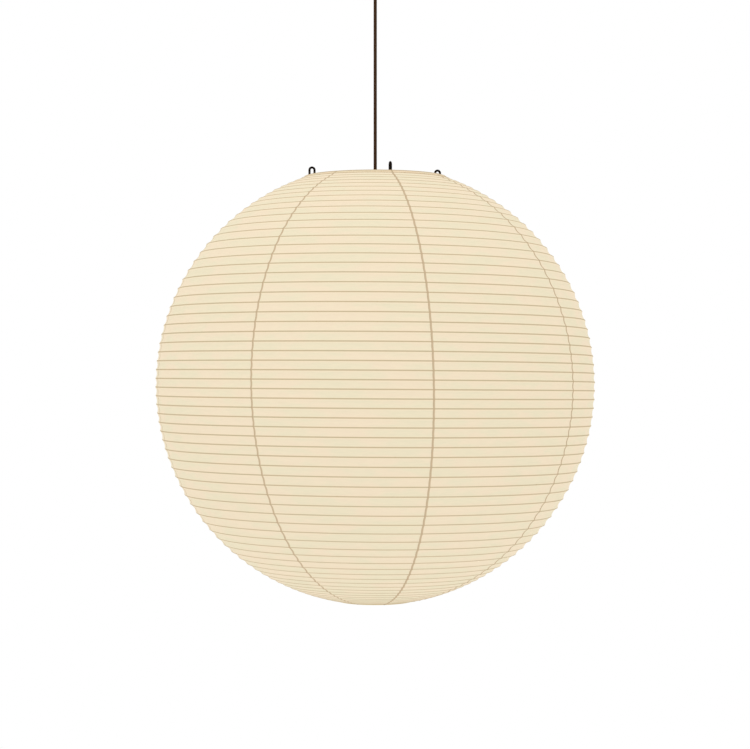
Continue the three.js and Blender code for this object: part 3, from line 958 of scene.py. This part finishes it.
def make_lamp_contacts(looks):
    shell = refined(in_mm([(13.9, 62), (14.5, 62), (14.5, 87), (13.9, 87)]), 0.3 * MM)
    cut = thread(BULB_PITCH, 0.5 * MM, above(62.5), above(86.5))
    mesh = turned_mesh("screw_shell", shell, segments=96, ripple=cut, sharp=60)
    new_piece("screw_shell", mesh, looks["brass"], "pendant", "threaded_shell")

    disc = rounded(in_mm([(0, 94), (16.4, 94), (16.4, 101), (0, 101)]), 0.8 * MM, 4, closed=False)
    mesh = turned_mesh("contact_carrier", disc, closed=False, segments=96)
    slot = box_mesh((-13, -3.4, 0), (-8, 3.4, 1.2))
    slot.transform(Matrix.Translation((0, 0, above(93.5))))
    mesh = carved("contact_carrier", mesh, [slot])
    new_piece("contact_carrier", mesh, looks["porcelain"], "pendant", "contact_block")

    path = [(-12, 93.3), (-7, 93.3), (-2.9, 91.6), (3, 91.6)]
    mesh = strip_mesh("centre_contact", path, 0.3, 3)
    new_piece("centre_contact", mesh, looks["brass"], "pendant", "contact_tongue")


def strip_mesh(name, path, half_thick, half_wide):
    """A flat spring strip along a path of [x, h], wide in Y, with soft bends."""
    line = rounded([(x * MM, above(h)) for x, h in path], 1.5 * MM, 8, closed=False)
    vertices = []
    for i, point in enumerate(line):
        ahead = line[min(i + 1, len(line) - 1)] - line[max(i - 1, 0)]
        normal = Vector((-ahead.y, ahead.x)).normalized() * half_thick * MM
        for side, y in ((-1, -1), (-1, 1), (1, 1), (1, -1)):
            at = point + side * normal
            vertices.append((at.x, y * half_wide * MM, at.y))
    faces = grid_faces(len(line), 4, False, True)
    last = 4 * (len(line) - 1)
    faces += [(3, 2, 1, 0), (last, last + 1, last + 2, last + 3)]
    return mesh_from(name, vertices, faces, 40)


def make_bulb_cap(looks):
    wall = in_mm([
        (12.6, 60.3), (13.4, 60.3), (13.1, 62), (13.1, 80), (10, 84.5), (6, 84.5), (6, 83.7),
        (9.6, 83.7), (12.6, 79.6),
    ])
    cut = thread(BULB_PITCH, 0.8 * MM, above(62.5), above(80))
    outline = refined(rounded(wall, 0.3 * MM, 2), 0.3 * MM)
    mesh = turned_mesh("screw_cap", outline, segments=96, ripple=cut, sharp=60)
    new_piece("screw_cap", mesh, looks["cap_metal"], "bulb", "bulb_cap")

    glass = rounded(in_mm([(0, 84.8), (9.6, 84.8), (5.2, 88.6), (0, 88.6)]), 0.5 * MM, 3, False)
    mesh = turned_mesh("cap_glass", glass, closed=False, segments=64)
    new_piece("cap_glass", mesh, looks["black_glass"], "bulb", "bulb_insulator")

    button = rounded(in_mm([(0, 88.9), (4.8, 88.9), (3.6, 90.9), (0, 90.9)]), 0.7 * MM, 4, False)
    mesh = turned_mesh("solder_contact", button, closed=False, segments=64)
    new_piece("solder_contact", mesh, looks["cap_metal"], "bulb", "bulb_contact")


def make_bulb(looks):
    """A globe around the shade's centre that runs into a narrow neck."""
    globe, glass, neck, neck_top = 47.5, 1.2, 15, 60
    leave = 62.4  # degrees up, where the neck leaves the globe

    def wall(radius, throat):
        points = arc((0, 0), radius, -90, leave, 40)
        edge = Vector(points[-1])
        corner = Vector((throat, edge.y + (edge.x - throat) / math.tan(math.radians(leave))))
        return points + bend(edge, corner, Vector((throat, neck_top)), 12)[1:]

    outline = in_mm(wall(globe, neck) + wall(globe - glass, neck - glass)[::-1])
    mesh = turned_mesh("opal_globe", outline, closed=False, segments=96, sharp=60)
    new_piece("opal_globe", mesh, looks["opal_glass"], "bulb", "bulb_globe")


# ------------------------------------------------------------------ screws and canopy
#
# In this section and the next, sizes are millimetres and heights are counted from the ceiling.

CORD_BORE = 3.35


def from_ceiling(outline):
    """Metres from an outline of millimetres, its heights from the ceiling."""
    return [(r * MM, z * MM) for r, z in outline]


def towards_front(z):
    """Turns something along Z to point at the front, at a height from the ceiling."""
    return Matrix.Translation((0, 0, z * MM)) @ Matrix.Rotation(math.pi / 2, 4, "X")


def screw_mesh(name, outline, pitch, depth, slot, cross=False):
    """A screw along Z from its tip. Its outline is [r, z]; slot is half its length, and its depth."""
    points = from_ceiling(outline)
    neck = max(z for (r, z), (next_r, _) in zip(points, points[1:]) if r == next_r)
    ripple = thread(pitch * MM, depth * MM, points[0][1], neck)
    points = refined(rounded(points, 0.25 * MM, 3, closed=False), pitch * MM / 8, closed=False)
    mesh = turned_mesh(name, points, closed=False, segments=40, ripple=ripple)
    reach, deep = slot
    half, top = 0.4, outline[-1][1]
    tools = [box_mesh((-reach, -half, top - deep), (reach, half, top + 1))]
    if cross:
        tools.append(box_mesh((-half, -reach, top - deep), (half, reach, top + 1)))
    return carved(name, mesh, tools)


def make_canopy(looks):
    """A cup round the cord, open at its rim, with a wide turn between wall and floor."""
    radius, turn, wall, hole = 38, 30, 1.5, 5.9
    rim, floor = -8, -70
    centre = (radius - turn, floor + turn)
    outline = [
        (hole, floor), *arc(centre, turn, -90, 0, 20), (radius, rim),
        (radius - wall, rim), *arc(centre, turn - wall, 0, -90, 20), (hole, floor + wall),
    ]
    outline = rounded(from_ceiling(outline), 0.3 * MM, 2)
    mesh = turned_mesh("canopy_shell", outline, segments=128, sharp=50)
    new_piece("canopy_shell", mesh, looks["canopy_lacquer"], "canopy", "canopy_cup")
    make_canopy_grip(looks, floor + wall + 0.3, hole - 0.3)


def make_canopy_grip(looks, flange, neck):
    """A bush that holds the cup to the cord, with a grub screw in its side."""
    top, screw_z = -57.5, -62
    outline = [
        (CORD_BORE, -70), (neck, -70), (neck, flange), (9, flange), (9, flange + 2),
        (6.5, flange + 2), (6.5, top), (CORD_BORE, top),
    ]
    mesh = turned_mesh("grip", rounded(from_ceiling(outline), 0.4 * MM), segments=96)
    hole = rod_mesh(1.3 * MM, 3 * MM, 8 * MM, towards_front(screw_z))
    mesh = carved("cord_grip", mesh, [hole])
    new_piece("cord_grip", mesh, looks["brown_plastic"], "canopy", "canopy_grip")
    screw = screw_mesh("grip_screw", [(0, 3.4), (1, 3.8), (1, 7.6), (0, 7.6)], 0.4, 0.15, (1.4, 0.3))
    screw.transform(towards_front(screw_z))
    new_piece("grip_screw", screw, looks["zinc_steel"], "canopy", "canopy_grub_screw")


# ------------------------------------------------------------------ ceiling end

HOOK_WIRE = 1.5
HOOK_LOW = -18  # centre of the hook's wire at its lowest point
LINK_RADIUS = 8
LOOP_RADIUS = 6
WIRE_PITCH = 2 * HOOK_WIRE + 0.3
CLAMP_TOP, CLAMP_BOTTOM, CLAMP_RADIUS = -41, -55, 10


def wire_bow(radius, centre, leg_end, way):
    """Two legs in the XZ plane joined by half a turn, at the bottom for a way of 1 and else -1."""
    points = [(-radius, 0, leg_end)]
    for i in range(33):
        angle = math.pi * i / 32
        points.append((-radius * math.cos(angle), 0, centre - way * radius * math.sin(angle)))
    points.append((radius, 0, leg_end))
    return [Vector(point) * MM for point in points]


def make_ceiling_plate(looks):
    steel = looks["zinc_steel"]
    screw_x = 20
    edge = [(0, -2), (23.6, -2), (24.4, -1.6), (25.2, -2), (28, -2), (28, 0), (0, 0)]
    edge = rounded(from_ceiling(edge), 0.7 * MM, 4, closed=False)
    mesh = turned_mesh("plate", edge, closed=False, segments=128)
    holes = [
        rod_mesh(radius * MM, -3 * MM, MM, Matrix.Translation((x * MM, 0, 0)))
        for x, radius in [(-screw_x, 2.4), (screw_x, 2.4), (-LINK_RADIUS, 1.8), (LINK_RADIUS, 1.8)]
    ]
    new_piece("mounting_plate", carved("mounting_plate", mesh, holes), steel, "ceiling",
              "ceiling_plate")
    outline = [(0, 0), (2, 5), (2, 29.3), (4, 29.3), (4, 30.5), (3, 31.9), (0, 31.9)]
    for side, x in (("left", -screw_x), ("right", screw_x)):
        screw = screw_mesh(f"wood_screw_{side}", outline, 2.2, 0.6, (2.2, 1.3), cross=True)
        flip = Matrix.Rotation(math.pi, 4, "X")
        screw.transform(Matrix.Translation((x * MM, 0, 27 * MM)) @ flip)
        new_piece(f"wood_screw_{side}", screw, steel, "ceiling", f"ceiling_screw_{side}")


def make_hook_and_link(looks):
    link_z = HOOK_LOW + WIRE_PITCH - LINK_RADIUS
    loop_z = link_z - LINK_RADIUS + WIRE_PITCH - LOOP_RADIUS
    link = [
        Vector((0, LINK_RADIUS * math.sin(angle), link_z + LINK_RADIUS * math.cos(angle))) * MM
        for angle in np.linspace(0, 2 * math.pi, 64, endpoint=False)
    ]
    hook = wire_bow(LINK_RADIUS, HOOK_LOW + LINK_RADIUS, -0.3, 1)
    loop = wire_bow(LOOP_RADIUS, loop_z, CLAMP_TOP - 5, -1)
    for name, points, cyclic, body, node in [
        ("hook_wire", hook, False, "ceiling", "ceiling_hook"),
        ("link_wire", link, True, "link", "hanging_link"),
        ("loop_wire", loop, False, "hanger", "hanger_loop"),
    ]:
        curve = wire_curve(name, points, HOOK_WIRE * MM, cyclic)
        new_piece(name, curve, looks["zinc_steel"], body, node)


def make_cord_clamp(looks):
    screw_z = -50
    outline = [
        (CORD_BORE, CLAMP_BOTTOM), (9, CLAMP_BOTTOM), (CLAMP_RADIUS, CLAMP_BOTTOM + 1),
        (CLAMP_RADIUS, CLAMP_TOP - 1), (9, CLAMP_TOP), (CORD_BORE, CLAMP_TOP),
    ]
    mesh = turned_mesh("clamp", rounded(from_ceiling(outline), 0.5 * MM), segments=96)
    tools = [
        rod_mesh(1.8 * MM, (CLAMP_TOP - 5.5) * MM, (CLAMP_TOP + 1) * MM,
                 Matrix.Translation((x * MM, 0, 0)))
        for x in (-LOOP_RADIUS, LOOP_RADIUS)
    ]
    tools.append(rod_mesh(1.7 * MM, 3 * MM, 11 * MM, towards_front(screw_z)))
    new_piece("clamp_body", carved("clamp_body", mesh, tools), looks["brown_plastic"], "hanger",
              "cord_clamp")
    outline = [(0, 3.4), (1.4, 3.8), (1.4, 10.3), (2.8, 10.3), (2.8, 12.1), (0, 12.1)]
    screw = screw_mesh("clamp_bolt", outline, 0.5, 0.2, (3, 0.8))
    screw.transform(towards_front(screw_z))
    new_piece("clamp_bolt", screw, looks["zinc_steel"], "hanger", "clamp_screw")


def make_terminal_block(looks):
    """A two-pole block: a cross hole for each wire and a screw in a well under it."""
    low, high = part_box("terminal_block")
    low, high = low / MM, high / MM
    middle = (low + high) / 2
    poles = (-6.5, 6.5)
    tools = [box_mesh((-0.8, low.y - 1, low.z - 1), (0.8, high.y + 1, low.z + 2))]
    for x in poles:
        along = Matrix.Translation((x * MM, 0, middle.z * MM)) @ Matrix.Rotation(-math.pi / 2, 4, "X")
        tools.append(rod_mesh(2 * MM, (low.y - 1) * MM, (high.y + 1) * MM, along))
        well = Matrix.Translation((x * MM, middle.y * MM, 0))
        tools.append(rod_mesh(2.6 * MM, (low.z - 1) * MM, (low.z + 3.2) * MM, well))
    mesh = carved("connector", box_mesh(low, high, 0.9), tools)
    new_piece("connector_body", mesh, looks["porcelain"], "ceiling", "terminal_block")
    for number, x in enumerate(poles, 1):
        outline = [(0, 0), (1.4, 0), (1.4, 1.5), (2.3, 1.5), (2.3, 3.2), (0, 3.2)]
        screw = screw_mesh(f"terminal_screw_{number}", outline, 0.5, 0.15, (2.6, 0.8))
        flip = Matrix.Rotation(math.pi, 4, "X")
        place = Matrix.Translation((x * MM, middle.y * MM, (low.z + 3.6) * MM))
        screw.transform(place @ flip)
        new_piece(f"terminal_screw_{number}", screw, looks["brass"], "ceiling")


# ------------------------------------------------------------------ the whole lantern


def build():
    make_camera()
    make_world()
    make_softbox()
    make_floor()
    looks = make_materials()
    make_cord(looks)
    make_rib(looks)
    make_gores(looks)
    make_mouths(looks)
    make_frame(looks)
    make_lampholder(looks)
    make_lamp_contacts(looks)
    make_bulb(looks)
    make_bulb_cap(looks)
    make_canopy(looks)
    make_ceiling_plate(looks)
    make_hook_and_link(looks)
    make_cord_clamp(looks)
    make_terminal_block(looks)


build()
